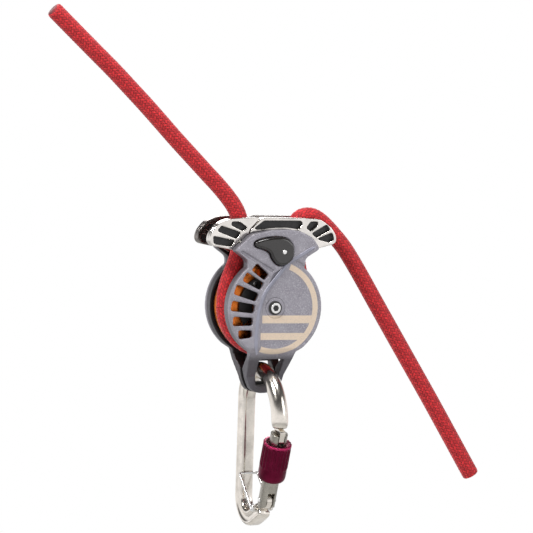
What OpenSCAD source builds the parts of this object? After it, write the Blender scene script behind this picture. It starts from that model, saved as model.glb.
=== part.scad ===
// Self-locking rope device: a rope wheel between two cast side plates, with polished rope guides,
// a brake inside, the rope it holds and the screw-gate carabiner it hangs on.
// Axes: X right, Y back along the wheel axle, Z up. The origin is the wheel's centre.

/* [Rope] */
// Rope diameter
rope_d = 10; // [9.5:0.1:10]
// Radius of the rope's centreline round the wheel
wrap_r = 25; // [25:0.1:25.2]

/* [Wheel] */
// Outer radius of the wheel's flanges
wheel_r = 28; // [27.5:0.1:28.2]
// Width across the flanges
wheel_w = 18; // [17.6:0.1:18.2]
// Radius of the main axle
axle_r = 4; // [3.8:0.1:4.1]
// Radius at which the pawl pins sit
pawl_pin_at = 16.4; // [16.2:0.1:16.5]
// Angle of the first pawl pin
pawl_angle = 122; // [110:1:130]

/* [Side plates] */
// Radius of the round part of each plate
disc_r = 29.8; // [29.4:0.1:30.2]
// Distance from the mid-plane to each plate's inner edge
plate_in = 9.9; // [9.7:0.1:10]
// Distance from the mid-plane to the front panel's face
front_out = 17.2; // [17:0.1:17.6]
// Distance from the mid-plane to the rear plate's face
rear_out = 18.2; // [18:0.1:18.6]
// How far the raised head stands above the panel
head_step = 0.9; // [0.5:0.1:1.1]
// Thickness of a plate's outer wall
wall = 2; // [1.6:0.1:2.4]

/* [Rope guides] */
// Distance from the mid-plane to a guide's rope side
guide_in = 6.2; // [6:0.1:6.5]
// Distance from the mid-plane to a guide's outer side
guide_out = 11.6; // [11:0.1:12]
// Depth of the pockets in a guide's outer side
pocket_deep = 3.2; // [2.6:0.1:3.6]

/* [Latch button] */
// How far the button stands out of the plate
button_out = 2.3; // [1.8:0.1:2.8]
// Running gap round the button
button_gap = 0.35; // [0.3:0.05:0.5]

/* [Carabiner] */
// Radius of the round stock in the top bow
stock_r = 5; // [4.8:0.1:5.1]
// Thickness of the spine's section, side to side
spine_x = 8.6; // [8:0.1:9]
// Depth of the spine's section, in the carabiner's plane
spine_y = 9.6; // [9:0.1:9.8]
// Radius of the gate
gate_r = 5.1; // [4.9:0.1:5.2]
// Outer radius of the knurled sleeve
sleeve_r = 8.8; // [8.4:0.1:9]
// Length of the knurled sleeve
sleeve_len = 24.5; // [23:0.5:25]
// Radius of the keeper wire
wire_r = 0.8; // [0.7:0.05:0.9]

/* [Hidden] */
$fn = 96;
far = 100;          // longer than any plate is wide, for cuts
run = 0.04;         // radial running fit of a pin in its bore

rope_r = rope_d / 2;
rope_sides = 12;

// Rope routes, x and z, from the wheel's sides to the cut ends
left_route = [
    [-25, 0], [-24.4, 8], [-22.5, 15], [-19.8, 21.5], [-17.3, 27.5], [-15.6, 33.5], [-14.9, 40],
    [-14.8, 46], [-15.7, 52.6], [-18.2, 58.3], [-22.9, 64.9], [-29.2, 72.1], [-35.9, 79],
    [-45.8, 89.3], [-55.8, 99.7], [-65.4, 110.1], [-75.1, 120.5], [-85.2, 130.9], [-95.4, 141.3],
    [-106.2, 151.7], [-117, 162.1], [-133, 177.6]
];
right_route = [
    [25, 0], [24.6, 8], [23.5, 16], [22, 24], [20.7, 32], [19.8, 39], [19.9, 44.5], [21.6, 49],
    [24.7, 51.5], [28.6, 52.2], [32.6, 51.3], [36.6, 48.9], [41, 44.9], [45.3, 40.4], [49, 36.2],
    [52.2, 32.2], [55.6, 27.2], [62, 17], [72, 0.2], [84, -19.8], [96, -39.7], [108, -59.6],
    [120, -80], [130.3, -97.6], [135.4, -106.3]
];

// Outline points of the plates and guides, x and z
head_points = [
    [-25.6, 34.9], [-14.6, 43.7], [-2, 45.8], [9, 45.9], [16.2, 44.8], [24.2, 40.6], [28.8, 33.9],
    [19.2, 28.6], [19, 21.6], [12, 12], [-12, 12], [-17.4, 21.6], [-17.2, 28.6]
];
lug_points = [
    [-15.4, -20], [15.4, -20], [12.7, -32], [9.4, -43.6], [6.4, -49.6], [-0.5, -51], [-6.6, -51],
    [-11, -48.4], [-13.4, -42], [-15, -32]
];
lug_window = [[-8.4, -30.6], [7.8, -30.6], [5.8, -46.4], [-7.8, -46.4]];
corner = 2.4;       // how far a rounded corner reaches along its sides

guide_left_points = [
    [-38.2, 37.6], [-39.8, 40.8], [-38.4, 45.4], [-33.8, 50.4], [-27.7, 52.9], [-16.7, 53.4],
    [-6.5, 53.1], [-14.3, 45.7], [-14, 40], [-22.6, 34], [-26.2, 34.9]
];
guide_right_points = [
    [-5.7, 53.1], [21.6, 51.8], [32.1, 50.7], [39, 45.6], [41.9, 40.9], [42, 37.1], [40, 35.6],
    [32, 33.9], [25.6, 32.8], [17, 40], [-13.3, 43], [-13.5, 45.7]
];
head_gap = 0.35;    // between a guide and the head that overlaps it
left_tongue = [[-25, 35.8], [-15.4, 42], [-15.4, 33.8], [-18.4, 31.2]];
right_tongue = [[25, 36.4], [16, 41.6], [16, 34.8], [18.8, 31.6]];
left_windows = [
    [[-24.7, 50.9], [-20.3, 50.7], [-15.6, 47.4], [-18.3, 46], [-25.1, 49.3]],
    [[-33.9, 46.2], [-31.7, 48.7], [-19.9, 44.5], [-22.1, 41.4]],
    [[-36.7, 42.8], [-23.7, 39.9], [-25.7, 37.1], [-36.4, 39]]
];
right_windows = [
    [[23.1, 46], [25.8, 49.2], [29.8, 49], [29.8, 47.5], [25.5, 44.1]],
    [[26.7, 42.4], [35.8, 47.1], [37.7, 44.3], [29.1, 40.4]],
    [[30.4, 39.2], [39.1, 42.3], [40.2, 38.5], [36.9, 37.4]],
    [[-10.3, 46.7], [-4.3, 50.7], [18.9, 49.8], [20, 48.7], [17.9, 45.7]]
];
screw_spots = [[-19.4, 38.6], [20, 38.2]];

// Panel windows in the front plate: centre x, centre z, angle, length, width
plate_windows = [
    [-9.5, 21.5, 140, 10.6, 5.2], [-14, 16.1, 150, 13.2, 5.5], [-18.6, 9.3, 159, 15.4, 5.8],
    [-20.8, 1.1, 170, 15.2, 5.8], [-20.9, -7.2, 177, 12.8, 5.3], [-19.4, -14.8, 181, 8.8, 5]
];
// The channel cut along the head's lower left: start, end and half width
head_channel = [[-21.8, 34], [-1, 21.6], 0.8];

// The latch button's outline, softened all the way round
button_points = [
    [11.4, 37], [11.4, 29.4], [6.8, 25], [1, 25], [-2.6, 29], [-4, 33.2], [-8.4, 35.3],
    [-13.6, 36.6], [-13.6, 39.8], [-7, 41.4], [0, 42], [6.8, 41.2]
];
button_face = front_out + head_step + button_out;
pin_at = [4.8, 33];

post_at = [2.8, 33];
post_r = 3.2;

cam_y0 = 11.2;
cam_y1 = 13.6;
cam_bore = 9;
ring_in = 19.6;
ring_out = 22.9;
teeth = 18;
shoe_pins = [-5.4, 9.7];
shoe_pin_z = 37.4;

bearing_r = 8;
hub_r = 10.5;
spoke_w = 5;
spoke_angles = [100, 220, 340];
recess_r = 23.5;
recess_y = 6.5;

// Carabiner path in its own plane: y to the back, z up
front_bow = [4, -66.5, 28];   // centre y, centre z, radius
rear_bow = [4, -58.5, 20];
spine_lean = 4.5;             // degrees that the spine leans out towards the narrow end
spine_len = 57.4;
low_bow_r = 12;
low_bow_to = -115;            // angle at which the low bow ends
low_arm = 13.6;
hinge = [-5.5, -114.2];
gate_tip = [-23, -74.2];
gate_dir = gate_tip - hinge;
gate_len = norm(gate_dir);
gate_angle = atan2(gate_dir[1], gate_dir[0]);
sleeve_at = 14;
fork_at = 36.5;
fork_w = 4.2;
tongue_w = 3.4;
wire_pivot = [2.8, -121.4];
wire_top = [21.3, -101.2];
wire_x = 5.8;

// ---------- shared shapes ----------

// A closed outline with each corner replaced by a smooth bend that reaches cut along its sides
function softened(points, cut, steps = 5) =
    let (n = len(points))
    [for (i = [0 : n - 1])
        let (b = points[i], a = points[(i + n - 1) % n] - b, c = points[(i + 1) % n] - b,
             p = b + a * min(cut / norm(a), 0.46), q = b + c * min(cut / norm(c), 0.46))
        for (k = [0 : steps]) let (t = k / steps) (1 - t) * (1 - t) * p + 2 * t * (1 - t) * b + t * t * q];

// A closed outline moved outwards by gap, for an outline that runs clockwise
function grown(points, gap) =
    let (n = len(points))
    [for (i = [0 : n - 1])
        let (d = points[(i + 1) % n] - points[(i + n - 1) % n]) points[i] + [-d[1], d[0]] / norm(d) * gap];

// Draws an x-z outline as a slab from y = from to y = to
module slab(from, to) {
    translate([0, to, 0]) rotate([90, 0, 0]) linear_extrude(to - from) children();
}

// A round bar along y
module bar_y(r, from, to, x = 0, z = 0) {
    translate([x, to, z]) rotate([90, 0, 0]) cylinder(r = r, h = to - from);
}

// A y-z outline as a slab along x
module side_slab(from, to) {
    translate([from, 0, 0]) rotate([90, 0, 90]) linear_extrude(to - from) children();
}

// A ring round the axle, its section given as r and y
module turned() {
    rotate([-90, 0, 0]) rotate_extrude($fn = 128) children();
}

module head_outline(gap = 0) {
    polygon(grown(softened(head_points, corner), gap));
}

module plate_blank(from, to) {
    slab(from, to) circle(disc_r, $fn = 160);
    slab(from, to) head_outline();
    slab(from, to) polygon(softened(lug_points, corner));
}

// Side view of a plate: full depth at the disc, then in to the lug by the mid-plane
module plate_side(out) {
    polygon([
        [-out, 50], [-out, -23], [-6.6, -41], [-6.6, -52], [-1.2, -52], [-1.2, -36.5],
        [-plate_in, -28.6], [-plate_in, 50]
    ]);
}

// Everything inside the plate's rim and outer wall
module plate_hollow_outline() {
    circle(27.4);
    polygon([[-22.5, 34.6], [-14, 40.8], [-2, 43.2], [9, 43.3], [14.6, 42.4], [21.6, 39], [23, 35.4],
             [15.2, 29], [14, 18], [-13, 18], [-13.6, 29]]);
}

module button_outline(gap) {
    polygon(grown(softened(button_points, 20), gap));
}

module window_outline(w) {
    reach = w[3] / 2;
    half = w[4] / 2;
    translate([w[0], w[1]]) rotate(w[2])
        polygon(softened([[-reach, -half + 0.3], [reach, -half - 0.2], [reach, half + 0.2],
                          [-reach, half - 0.3]], 1.4));
}

module channel_outline() {
    way = head_channel[1] - head_channel[0];
    half = head_channel[2];
    translate(head_channel[0]) rotate(atan2(way[1], way[0]))
        polygon(softened([[0, -half], [0, half], [norm(way), half], [norm(way), -half]], 0.7));
}

// The lower, flatter part of the front face, right of the windows and under the head
module panel_outline() {
    intersection() {
        circle(disc_r + 1);
        polygon([
            [-1.2, 20.2], [-5.2, 11], [-8, 2], [-9.6, -8], [-10, -17], [-9.4, -24], [-8, -33],
            [40, -33], [40, 42], [25, 34.6], [12, 27.2]
        ]);
    }
}

// ---------- frame ----------

module rear_plate() {
    color([0.55, 0.55, 0.62]) difference() {
        intersection() {
            plate_blank(0, rear_out + 1);
            mirror([0, 1, 0]) side_slab(-far, far) plate_side(rear_out);
        }
        difference() {
            slab(plate_in - 1, 15.6) plate_hollow_outline();
            bar_y(cam_bore - run, plate_in - 2, 16);
        }
        slab(0, 20) polygon(softened(lug_window, 1.5));
        bar_y(axle_r, 0, 30);
        bar_y(1.6, 0, 30, post_at[0], post_at[1]);
        for (s = screw_spots) bar_y(1.25, 0, 17, s[0], s[1]);
    }
}

// The hole for a screw whose head sits in the guide's rope side
module screw_bore(spot) {
    bar_y(1.25, -20, 0, spot[0], spot[1]);
    bar_y(2.2, -guide_in - 1.3, 0, spot[0], spot[1]);
}

// A guide: a deep horn outside the head and a tongue behind it, with pockets in its outer side
module guide(outline, tongue, windows, spot) {
    difference() {
        slab(-guide_out, -guide_in) polygon(softened(outline, corner));
        slab(-guide_out - 1, -plate_in) head_outline(head_gap);
        for (w = windows) slab(-guide_out - 1, -guide_out + pocket_deep) polygon(softened(w, 0.8));
        screw_bore(spot);
    }
    difference() {
        slab(-plate_in, -guide_in) polygon(softened(tongue, corner));
        screw_bore(spot);
    }
}

module rear_guide_left() {
    color([0.8, 0.79, 0.78]) mirror([0, 1, 0])
        guide(guide_left_points, left_tongue, left_windows, screw_spots[0]);
}

module rear_guide_right() {
    color([0.8, 0.79, 0.78]) mirror([0, 1, 0])
        guide(guide_right_points, right_tongue, right_windows, screw_spots[1]);
}

// Sunk screws that hold the guides, seen from the rope's side
module guide_screws(long_end) {
    for (s = screw_spots) {
        translate([s[0], -guide_in - 0.1, s[1]]) rotate([90, 0, 0]) difference() {
            union() {
                cylinder(r = 1.25, h = long_end - guide_in - 0.1);
                cylinder(r = 2.2, h = 1.2);
            }
            translate([0, 0, -1]) cylinder(r = 0.7, h = 1.8, $fn = 6);
        }
    }
}

module rear_guide_screws() {
    color("silver") mirror([0, 1, 0]) guide_screws(16.8);
}

module front_guide_screws() {
    color("silver") guide_screws(13.6);
}

module main_axle() {
    color("silver") difference() {
        bar_y(axle_r, -17, rear_out);
        bar_y(2, -18, -7);
        bar_y(2, 11, 19);
    }
}

module axle_nut() {
    color([0.7, 0.7, 0.72]) {
        difference() {
            turned() polygon([[0, rear_out], [5.6, rear_out], [5.6, rear_out + 0.9], [4.9, rear_out + 1.6],
                              [0, rear_out + 1.6]]);
            translate([0, rear_out + 3, 0]) rotate([90, 0, 0]) cylinder(r = 1.9, h = 2.2, $fn = 6);
        }
        bar_y(2, 11.2, rear_out);
    }
}

module axle_screw() {
    color([0.86, 0.86, 0.84]) difference() {
        union() {
            bar_y(3.05, -18.5, -17);
            bar_y(2, -17, -7.2);
        }
        translate([0, -17.1, 0]) rotate([90, 0, 0]) cylinder(r = 1.9, h = 3, $fn = 6);
    }
}

module axle_washer() {
    color([0.25, 0.25, 0.26]) difference() {
        bar_y(4.1, -17.85, -17.3);
        bar_y(3.05, -19, -16);
    }
}

module latch_post() {
    color("silver") {
        bar_y(post_r, -12.5, 15.6, post_at[0], post_at[1]);
        bar_y(1.6, 15.6, rear_out, post_at[0], post_at[1]);
    }
}

// ---------- rope ----------

// A closed tube through x-z points, with one ring at each point
module rope_tube(route) {
    n = len(route);
    ways = [for (i = [0 : n - 1])
        let (d = route[min(i + 1, n - 1)] - route[max(i - 1, 0)]) d / norm(d)];
    rings = [for (i = [0 : n - 1]) for (k = [0 : rope_sides - 1])
        let (a = 360 * k / rope_sides, side = rope_r * cos(a))
        [route[i][0] - ways[i][1] * side, rope_r * sin(a), route[i][1] + ways[i][0] * side]];
    skin = [for (i = [0 : n - 2]) for (k = [0 : rope_sides - 1])
        let (m = (k + 1) % rope_sides, p = i * rope_sides, q = p + rope_sides)
        [p + k, q + k, q + m, p + m]];
    first_cap = [for (k = [0 : rope_sides - 1]) k];
    last_cap = [for (k = [rope_sides - 1 : -1 : 0]) (n - 1) * rope_sides + k];
    polyhedron(points = rings, faces = concat([first_cap], skin, [last_cap]), convexity = 6);
}

module rope_wrap() {
    color([0.85, 0.14, 0.17]) rotate([90, 0, 0]) rotate([0, 0, 180])
        rotate_extrude(angle = 180) translate([wrap_r, 0]) circle(rope_r, $fn = 48);
}

module rope_left() {
    color([0.85, 0.14, 0.17]) rope_tube(left_route);
}

module rope_right() {
    color([0.85, 0.14, 0.17]) rope_tube(right_route);
}

// ---------- front plate ----------

module front_plate() {
    color([0.58, 0.58, 0.66]) difference() {
        intersection() {
            plate_blank(-front_out - head_step, 0);
            side_slab(-far, far) plate_side(front_out + head_step);
        }
        slab(-front_out - 5, -front_out) panel_outline();
        difference() {
            slab(-front_out + wall, -plate_in + 1) plate_hollow_outline();
            bar_y(8.4, -20, 0);
        }
        slab(-20, 0) polygon(softened(lug_window, 1.5));
        for (w = plate_windows) slab(-20, -14) window_outline(w);
        slab(-20, -front_out + 0.1) channel_outline();
        slab(-20, -13) button_outline(button_gap);
        bar_y(6, -20, 0);
        for (s = screw_spots) bar_y(1.25, -13.8, 0, s[0], s[1]);
    }
}

module front_bush() {
    color([0.6, 0.6, 0.66]) difference() {
        bar_y(6, -front_out, -9.3);
        bar_y(axle_r + run, -20, 0);
    }
}

module front_guide_left() {
    color([0.85, 0.84, 0.83]) guide(guide_left_points, left_tongue, left_windows, screw_spots[0]);
}

module front_guide_right() {
    color([0.85, 0.84, 0.83]) guide(guide_right_points, right_tongue, right_windows, screw_spots[1]);
}

// ---------- latch ----------

module latch_button() {
    color([0.08, 0.08, 0.08]) difference() {
        slab(-button_face, -15.4) button_outline(0);
        bar_y(1.3, -30, -button_face + 1.2, pin_at[0], pin_at[1]);
        bar_y(5, -16.6, -10, post_at[0], post_at[1]);
    }
}

module button_pin() {
    color([0.9, 0.9, 0.88]) bar_y(1.3, -button_face - 0.3, -button_face + 1.2, pin_at[0], pin_at[1]);
}

// A small spring round the end of the post, drawn as a sleeve with grooves for its turns
module button_spring() {
    color("silver") difference() {
        bar_y(4.6, -16.5, -12.6, post_at[0], post_at[1]);
        bar_y(3.6, -20, 0, post_at[0], post_at[1]);
        for (i = [0 : 3]) translate([post_at[0], -15.9 + i, post_at[1]]) rotate([-90, 0, 0])
            rotate_extrude() translate([4.7, 0]) circle(0.3, $fn = 16);
    }
}

// ---------- wheel ----------

module wheel_rim() {
    half = wheel_w / 2;
    color([0.85, 0.42, 0.14]) difference() {
        union() {
            turned() difference() {
                polygon([[18.2, -recess_y], [recess_r, -recess_y], [recess_r, -half], [wheel_r, -half],
                         [wheel_r, half], [recess_r, half], [recess_r, recess_y], [18.2, recess_y]]);
                translate([wrap_r, 0]) circle(rope_r + 0.3);
                polygon([[wrap_r, -rope_r - 0.3], [wheel_r + 1, -7.6], [wheel_r + 1, 7.6],
                         [wrap_r, rope_r + 0.3]]);
            }
            turned() translate([hub_r - 1, -1.2]) square([9, 2.4]);
            turned() translate([bearing_r - 1, -8.4]) square([hub_r - bearing_r + 1, 16.8]);
            for (a = spoke_angles) rotate([0, -a, 0]) {
                translate([hub_r - 1, -half + 0.4, -spoke_w / 2])
                    cube([recess_r - hub_r + 1.5, half - recess_y, spoke_w]);
                translate([hub_r - 1, -recess_y - 0.4, -spoke_w / 2])
                    cube([9, recess_y - 0.6, spoke_w]);
            }
        }
        for (k = [0 : 2]) rotate([0, -pawl_angle - 120 * k, 0]) bar_y(1.5, -20, 20, pawl_pin_at, 0);
        bar_y(bearing_r, -20, 20);
    }
}

module wheel_cover() {
    color([0.1, 0.1, 0.1]) difference() {
        bar_y(19, -8.2, -recess_y);
        bar_y(hub_r, -20, 0);
        for (a = spoke_angles) rotate([0, -a, 0]) translate([0, -10, -spoke_w / 2 - 0.1])
            cube([30, 10, spoke_w + 0.2]);
        for (k = [0 : 2]) rotate([0, -pawl_angle - 120 * k, 0]) bar_y(1.5, -20, 20, pawl_pin_at, 0);
    }
}

module wheel_bearings() {
    color([0.75, 0.75, 0.76]) for (y = [-8, 4]) difference() {
        bar_y(bearing_r, y, y + 4);
        bar_y(axle_r + run, -20, 20);
        for (face = [y, y + 4]) translate([0, face, 0]) rotate([90, 0, 0]) rotate_extrude()
            translate([6, 0]) circle(0.7, $fn = 24);
    }
}

module pawl_pins() {
    color([0.92, 0.92, 0.9]) for (k = [0 : 2]) rotate([0, -pawl_angle - 120 * k, 0])
        bar_y(1.5, -8.9, 9.7, pawl_pin_at, 0);
}

// One centrifugal pawl, lying behind the wheel's web with its tip short of the ratchet teeth
module pawl(k) {
    color([0.35, 0.35, 0.37]) rotate([0, -pawl_angle - 120 * k, 0]) difference() {
        slab(6.9, 9.5) union() {
            translate([pawl_pin_at, 0]) circle(2.5);
            polygon([[pawl_pin_at - 2.4, 0.4], [pawl_pin_at + 2.3, 0.9], [pawl_pin_at + 0.2, 7.8],
                     [pawl_pin_at - 1.6, 8.2], [pawl_pin_at - 2.6, 6.4]]);
        }
        bar_y(1.5 + run, 0, 20, pawl_pin_at, 0);
    }
}

module pawl_1() { pawl(0); }
module pawl_2() { pawl(1); }
module pawl_3() { pawl(2); }

// ---------- brake ----------

module brake_cam() {
    color([0.3, 0.3, 0.32]) difference() {
        slab(cam_y0, cam_y1) difference() {
            union() {
                circle(ring_out);
                polygon([[-8, 14], [12, 14], [12, 39.6], [-8, 39.6]]);
            }
            circle(cam_bore);
            polygon([[-2.8, 28], [8.2, 28], [8.2, 36.9], [-2.8, 36.9]]);
        }
        for (x = shoe_pins) bar_y(1, 5, 20, x, shoe_pin_z);
    }
}

module ratchet_ring() {
    color([0.16, 0.16, 0.17]) slab(7.2, cam_y0) difference() {
        circle(ring_out);
        circle(ring_in);
        for (i = [0 : teeth - 1]) rotate(i * 360 / teeth)
            polygon([[ring_in - 1, -1.2], [20.9, -1.2], [20.9, -0.4], [ring_in - 1, 1.6]]);
    }
}

// Two shoes that press the rope when the wheel drags the cam round
module brake_shoes() {
    color([0.5, 0.48, 0.45]) {
        slab(-5.4, cam_y0) polygon(softened([[-7.2, 34.4], [-3.6, 34.4], [-3.6, 39.4], [-7.2, 39.4]], 1));
        slab(-5.4, cam_y0) polygon(softened([[8, 34.4], [11.4, 34.4], [11.4, 39.4], [8, 39.4]], 1));
        for (x = shoe_pins) bar_y(1, cam_y0 - 1, cam_y1, x, shoe_pin_z);
    }
}

module cam_spring() {
    color("silver") turned() for (i = [0 : 1]) translate([10.2, 14.15 + i * 0.8]) circle(0.45, $fn = 20);
}

// ---------- carabiner ----------

// Stands a y-z drawing up in the device's frame: local x is y, local y is z, local z is x
module stand() {
    rotate([90, 0, 90]) children();
}

// Sections across the stock: first coordinate in the carabiner's plane, second across it
module round_section() {
    circle(stock_r);
}

module spine_section(less = 0) {
    difference() {
        intersection() {
            circle(5.5 - less);
            square([spine_y - 2 * less, spine_x - 2 * less], center = true);
        }
        for (side = [-1, 1]) translate([0, side * (spine_x / 2 + 0.9)]) circle(2 + less);
    }
}

module arc_piece(centre, r, from, turn) {
    translate([centre[0], centre[1]]) rotate(from) rotate_extrude(angle = turn) translate([r, 0]) children();
}

module line_piece(from, angle, length) {
    translate(from) rotate(angle + 90) rotate([90, 0, 0]) linear_extrude(length) children();
}

// The spine starts where the rear bow has turned down to its lean, and the low bow takes over from it
spine_way = [sin(spine_lean), -cos(spine_lean)];
spine_out = [cos(spine_lean), sin(spine_lean)];
spine_top = [rear_bow[0], rear_bow[1]] + rear_bow[2] * spine_out;
low_centre = spine_top + spine_len * spine_way - low_bow_r * spine_out;
low_end = low_centre + low_bow_r * [cos(low_bow_to), sin(low_bow_to)];
low_way = [sin(low_bow_to), -cos(low_bow_to)];
// A straight piece is trimmed a hair smaller than the bends and laps into them
trim = 0.03;
lap = 0.3;

// The tongue at the nose that the gate's fork closes on
module nose() {
    translate(hinge) rotate(gate_angle) intersection() {
        rotate([0, 90, 0]) cylinder(r = gate_r, h = 60);
        translate([fork_at + 3.1, -far / 2, -tongue_w / 2]) cube([9, far, tongue_w]);
    }
}

module carabiner_body() {
    color([0.72, 0.7, 0.66]) stand() difference() {
        union() {
            arc_piece(rear_bow, rear_bow[2], 90, spine_lean - 90) round_section();
            arc_piece(front_bow, front_bow[2], 90, 97) round_section();
            line_piece(spine_top - lap * spine_way, spine_lean - 90, spine_len + 2 * lap)
                spine_section(trim);
            arc_piece(low_centre, low_bow_r, low_bow_to, spine_lean - low_bow_to) spine_section();
            line_piece(low_end - lap * low_way, low_bow_to - 90, low_arm) spine_section(trim);
            hinge_tongue();
            nose();
        }
        translate([hinge[0], hinge[1], -far / 2]) cylinder(r = 1.5, h = far);
        for (side = [-1, 1]) translate([wire_pivot[0], wire_pivot[1], side * 3.6 - 1.4])
            cylinder(r = wire_r + run, h = 2.8);
    }
}

// Flat tongue on the lower arm that carries the gate's hinge pin
module hinge_tongue() {
    translate([hinge[0], hinge[1], -tongue_w / 2]) cylinder(r = 4.6, h = tongue_w);
    translate([0, 0, -tongue_w / 2]) linear_extrude(tongue_w)
        polygon([[-9.6, -116.2], [-1.6, -111], [4.5, -116.6], [3, -123.5], [-5, -120]]);
}

module gate_pin() {
    color([0.85, 0.84, 0.82]) stand() translate([hinge[0], hinge[1], -5.4]) cylinder(r = 1.5, h = 10.8);
}

// Draws its children along the gate: local x runs from the hinge to the tip
module on_gate() {
    stand() translate(hinge) rotate(gate_angle) children();
}

module gate_tube() {
    color([0.62, 0.6, 0.56]) on_gate() difference() {
        union() {
            translate([2.6, 0, 0]) rotate([0, 90, 0]) cylinder(r = gate_r, h = gate_len - 1.6);
            intersection() {
                rotate([0, 90, 0]) translate([0, 0, -5]) cylinder(r = gate_r, h = 10);
                cylinder(r = 5, h = 20, center = true);
            }
        }
        translate([fork_at, -far / 2, -fork_w / 2]) cube([20, far, fork_w]);
        translate([-20, -far / 2, -fork_w / 2]) cube([26.5, far, fork_w]);
        translate([6, 0, 0]) rotate([0, 90, 0]) cylinder(r = 2, h = 16);
        translate([0, 0, -far / 2]) cylinder(r = 1.5 + run, h = far);
    }
}

// Spring-loaded plunger inside the gate, which pushes on the hinge tongue
module gate_plunger() {
    color("silver") on_gate() translate([6.9, 0, 0]) rotate([0, 90, 0]) cylinder(r = 2, h = 14);
}

module sleeve_ring() {
    color([0.15, 0.15, 0.16]) on_gate() translate([sleeve_at + 8, 0, 0]) rotate([0, 90, 0]) difference() {
        cylinder(r = 5.9, h = 3);
        translate([0, 0, -1]) cylinder(r = gate_r + run, h = 5);
    }
}

module lock_sleeve() {
    color([0.42, 0.08, 0.2]) on_gate() translate([sleeve_at, 0, 0]) difference() {
        union() {
            rotate([0, 90, 0]) rotate_extrude() polygon([[3, 0], [6.9, 0], [8.1, 1.1], [8.4, 3.4],
                [8.4, sleeve_len - 1.4], [7.8, sleeve_len], [3, sleeve_len]]);
            for (i = [0 : 23]) rotate([i * 15, 0, 0]) translate([3.2, 8.2, -0.5])
                cube([sleeve_len - 4.4, sleeve_r - 8.2, 1]);
        }
        rotate([0, 90, 0]) translate([0, 0, -1]) cylinder(r = gate_r + 0.1, h = sleeve_len + 2);
        translate([7.9, 0, 0]) rotate([0, 90, 0]) cylinder(r = 5.9 + run, h = 3.2);
    }
}

module wire_rod(a, b) {
    d = b - a;
    translate(a) rotate([0, acos(d[2] / norm(d)), atan2(d[1], d[0])]) cylinder(r = wire_r, h = norm(d));
}

// U-shaped wire: two legs from the lower arm and a bar that rests against the spine
module keeper_wire() {
    p = wire_pivot;
    t = wire_top;
    color([0.8, 0.78, 0.72]) stand() {
        wire_rod([t[0], t[1], -wire_x], [t[0], t[1], wire_x]);
        for (side = [-1, 1]) {
            wire_rod([p[0], p[1], side * wire_x], [t[0], t[1], side * wire_x]);
            translate([p[0], p[1], side * wire_x]) sphere(wire_r * 1.2);
            translate([t[0], t[1], side * wire_x]) sphere(wire_r * 1.2);
            wire_rod([p[0], p[1], side * 2.6], [p[0], p[1], side * wire_x]);
        }
    }
}

rear_plate();
rear_guide_left();
rear_guide_right();
rear_guide_screws();
main_axle();
axle_nut();
axle_screw();
axle_washer();
latch_post();
rope_wrap();
rope_left();
rope_right();
front_plate();
front_bush();
front_guide_left();
front_guide_right();
front_guide_screws();
latch_button();
button_pin();
button_spring();
wheel_rim();
wheel_cover();
wheel_bearings();
pawl_pins();
pawl_1();
pawl_2();
pawl_3();
brake_cam();
ratchet_ring();
brake_shoes();
cam_spring();
carabiner_body();
gate_pin();
gate_tube();
gate_plunger();
sleeve_ring();
lock_sleeve();
keeper_wire();
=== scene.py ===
import math

import bmesh
import bpy
import numpy as np
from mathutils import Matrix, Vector


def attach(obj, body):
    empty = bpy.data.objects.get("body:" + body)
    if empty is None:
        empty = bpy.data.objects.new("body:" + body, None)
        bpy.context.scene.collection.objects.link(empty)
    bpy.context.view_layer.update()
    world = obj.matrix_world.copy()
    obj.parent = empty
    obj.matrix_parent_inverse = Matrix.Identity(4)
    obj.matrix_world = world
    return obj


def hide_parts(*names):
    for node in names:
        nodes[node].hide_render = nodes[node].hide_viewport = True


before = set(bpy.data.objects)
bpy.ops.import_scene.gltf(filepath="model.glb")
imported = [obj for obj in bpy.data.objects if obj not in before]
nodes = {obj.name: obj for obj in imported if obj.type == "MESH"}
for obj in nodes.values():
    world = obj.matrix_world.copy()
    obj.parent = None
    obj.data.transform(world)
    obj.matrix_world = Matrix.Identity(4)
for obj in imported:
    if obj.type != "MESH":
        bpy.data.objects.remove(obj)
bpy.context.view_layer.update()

scene = bpy.context.scene
MM = 0.001


# ---------- camera and light ----------

def direction(azimuth, elevation):
    """Unit vector out from the object: azimuth 0 is the front and 90 its right-hand side, in degrees."""
    a, e = math.radians(azimuth), math.radians(elevation)
    return Vector((math.sin(a) * math.cos(e), -math.cos(a) * math.cos(e), math.sin(e)))


look_at = Vector((0.00175, -0.00076, 0.0231))
view_way = direction(-24, 5)
distance = 5.0
lens_per_metre = 114.8
camera = bpy.data.objects.new("camera", bpy.data.cameras.new("camera"))
scene.collection.objects.link(camera)
camera.data.lens = lens_per_metre * distance
camera.data.sensor_width = 36
camera.data.clip_start, camera.data.clip_end = 0.5, 40
camera.rotation_mode = "QUATERNION"
camera.location = look_at + view_way * distance
camera.rotation_quaternion = (-view_way).to_track_quat("-Z", "Y")
scene.camera = camera
scene.view_settings.view_transform = "Standard"


def area_light(name, azimuth, elevation, reach, size, power):
    """A white disc lamp that faces the object from reach metres away."""
    lamp = bpy.data.lights.new(name, "AREA")
    lamp.shape, lamp.size, lamp.energy = "DISK", size, power
    holder = bpy.data.objects.new(name, lamp)
    way = direction(azimuth, elevation)
    holder.location = way * reach
    holder.rotation_mode = "QUATERNION"
    holder.rotation_quaternion = way.to_track_quat("Z", "Y")
    scene.collection.objects.link(holder)


area_light("key_light", -70, 48, 1.1, 0.3, 8)
area_light("fill_light", 45, 20, 1.3, 0.7, 3)
area_light("top_light", 20, 75, 1.0, 0.35, 4)
area_light("back_light", 160, 30, 1.2, 0.6, 5)

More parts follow.
